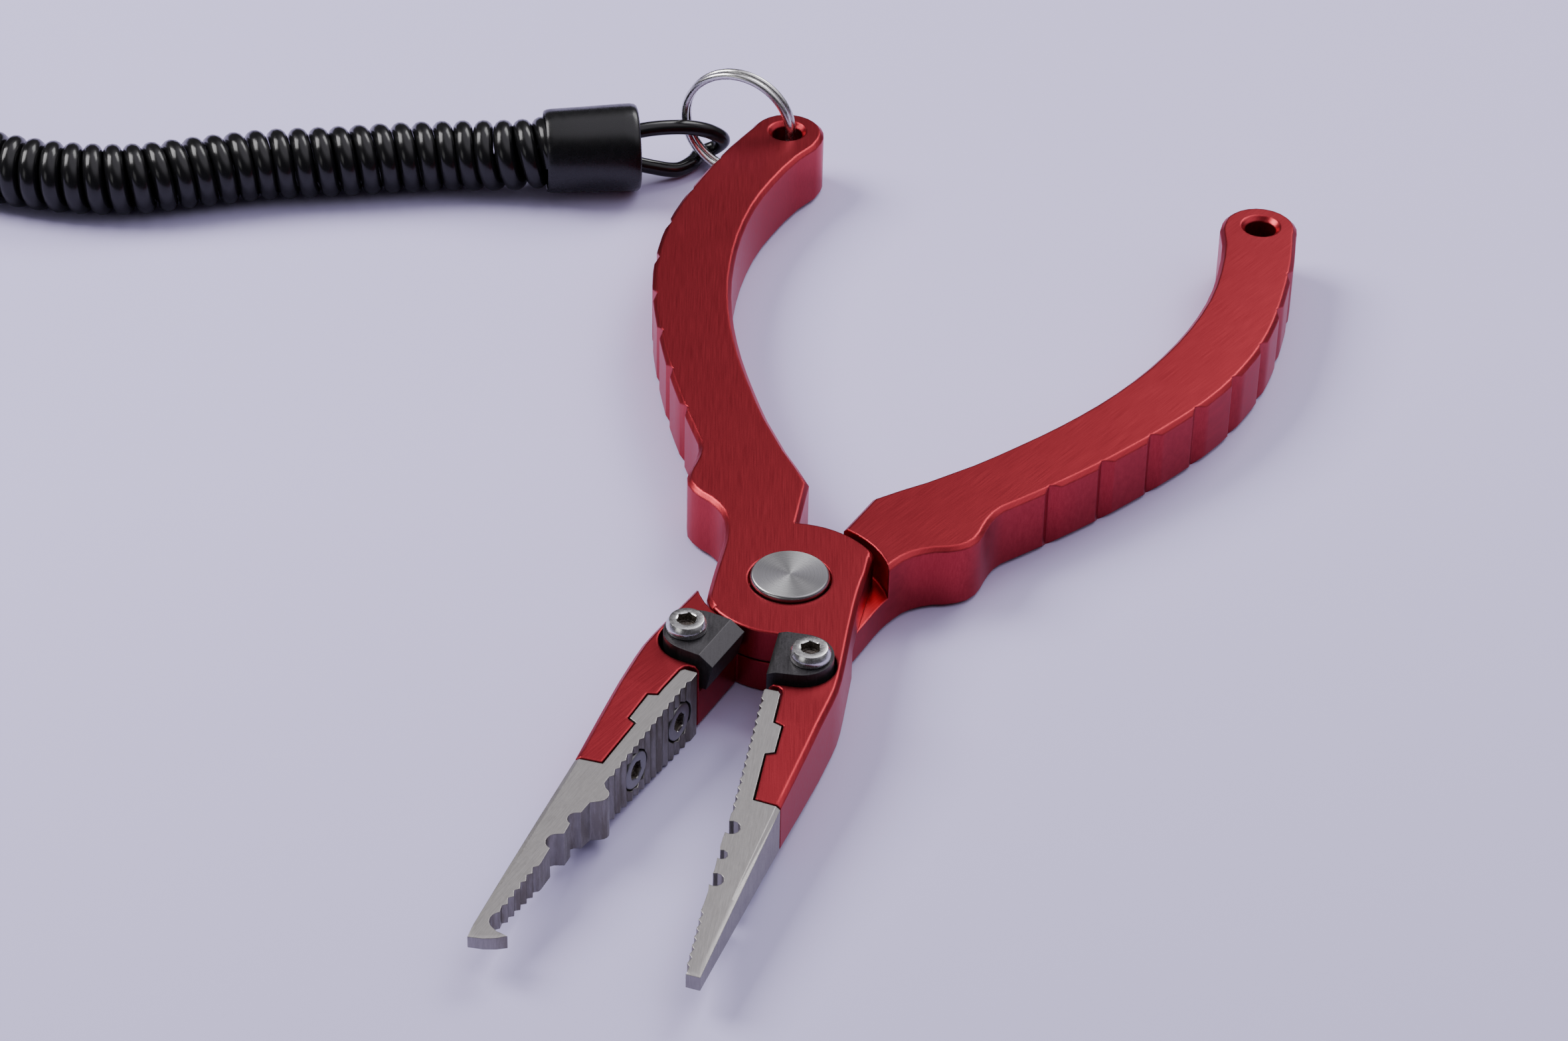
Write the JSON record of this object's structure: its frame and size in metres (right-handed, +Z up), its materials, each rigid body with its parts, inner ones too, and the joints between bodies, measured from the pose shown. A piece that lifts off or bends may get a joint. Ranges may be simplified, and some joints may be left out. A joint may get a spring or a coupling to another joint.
{
  "type": "fishing pliers",
  "caption": "Long-nose fishing pliers with keyed steel jaws, a split-ring beak, side cutters, grooved grips and a coiled tether with a snap clip.",
  "frame": {"origin": "on the pivot's axis, in the plane of the flat underside that the pliers lie on", "axes": "+Z up out of the top face along the pivot, +Y towards the handles, -Y towards the jaws"},
  "size_m": [0.2867, 0.1873, 0.0183],
  "materials": {
    "red_anodised": "anodised red aluminium, satin with fine brushing",
    "jaw_steel": "satin stainless steel",
    "carbide": "dark ground carbide",
    "polished_steel": "polished stainless steel",
    "bronze": "plain bearing bronze",
    "black_coating": "glossy black moulded coating"
  },
  "bodies": {
    "upper_half": {"handle_half_upper": "red_anodised", "jaw_insert_straight": "jaw_steel", "insert_screw_straight_back": "polished_steel", "insert_screw_straight_front": "polished_steel", "cutter_anvil": "carbide", "cutter_screw_anvil": "polished_steel", "pivot_screw": "polished_steel", "pivot_nut": "polished_steel", "thrust_washer": "bronze", "return_spring": "polished_steel"},
    "lower_half": {"handle_half_lower": "red_anodised", "jaw_insert_hooked": "jaw_steel", "insert_screw_hooked_back": "polished_steel", "insert_screw_hooked_front": "polished_steel", "cutter_blade": "carbide", "cutter_screw_blade": "polished_steel"},
    "ring": {"split_ring": "polished_steel"},
    "near_end": {"cable_loop_near": "black_coating", "crimp_sleeve_near": "black_coating"},
    "cord": {"coil_cord": "black_coating"},
    "far_end": {"crimp_sleeve_far": "black_coating", "cable_loop_far": "black_coating"},
    "swivel": {"clip_swivel": "polished_steel"},
    "hook": {"clip_hook": "polished_steel", "clip_gate_pin": "polished_steel"},
    "gate": {"clip_gate": "polished_steel"}
  },
  "joints": [
    {"name": "jaw_pivot", "type": "hinge", "parent": "upper_half", "child": "lower_half", "pos_m": [0, 0, 0.005], "axis": [0, 0, 1], "range_deg": [-52, 18.9]},
    {"name": "ring_swing", "type": "hinge", "parent": "upper_half", "child": "ring", "pos_m": [-0.037, 0.1059, 0.007], "axis": [0, 0, 1], "range_deg": [-66, 6]},
    {"name": "loop_swing", "type": "hinge", "parent": "ring", "child": "near_end", "pos_m": [-0.0528, 0.1064, 0.006], "axis": [0, 0, 1], "range_deg": [-4, 14]},
    {"name": "cord_bend_near", "type": "hinge", "parent": "near_end", "child": "cord", "pos_m": [-0.0704, 0.09245, 0.0068], "axis": [0, 0, 1], "range_deg": [-11, 9]},
    {"name": "cord_bend_far", "type": "hinge", "parent": "cord", "child": "far_end", "pos_m": [-0.1694, 0.06, 0.0068], "axis": [0, 0, 1], "range_deg": [-11, 3]},
    {"name": "clip_link", "type": "hinge", "parent": "far_end", "child": "swivel", "pos_m": [-0.1965, 0.06, 0.0044], "axis": [0, 0, 1], "range_deg": [-18, 18]},
    {"name": "clip_swivel_turn", "type": "hinge", "parent": "swivel", "child": "hook", "pos_m": [-0.205, 0.06, 0.0044], "axis": [-1, 0, 0], "continuous": true},
    {"name": "clip_gate_hinge", "type": "hinge", "parent": "hook", "child": "gate", "pos_m": [-0.2126, 0.0649, 0.0044], "axis": [0, 0, 1], "range_deg": [0, 21]}
  ]
}
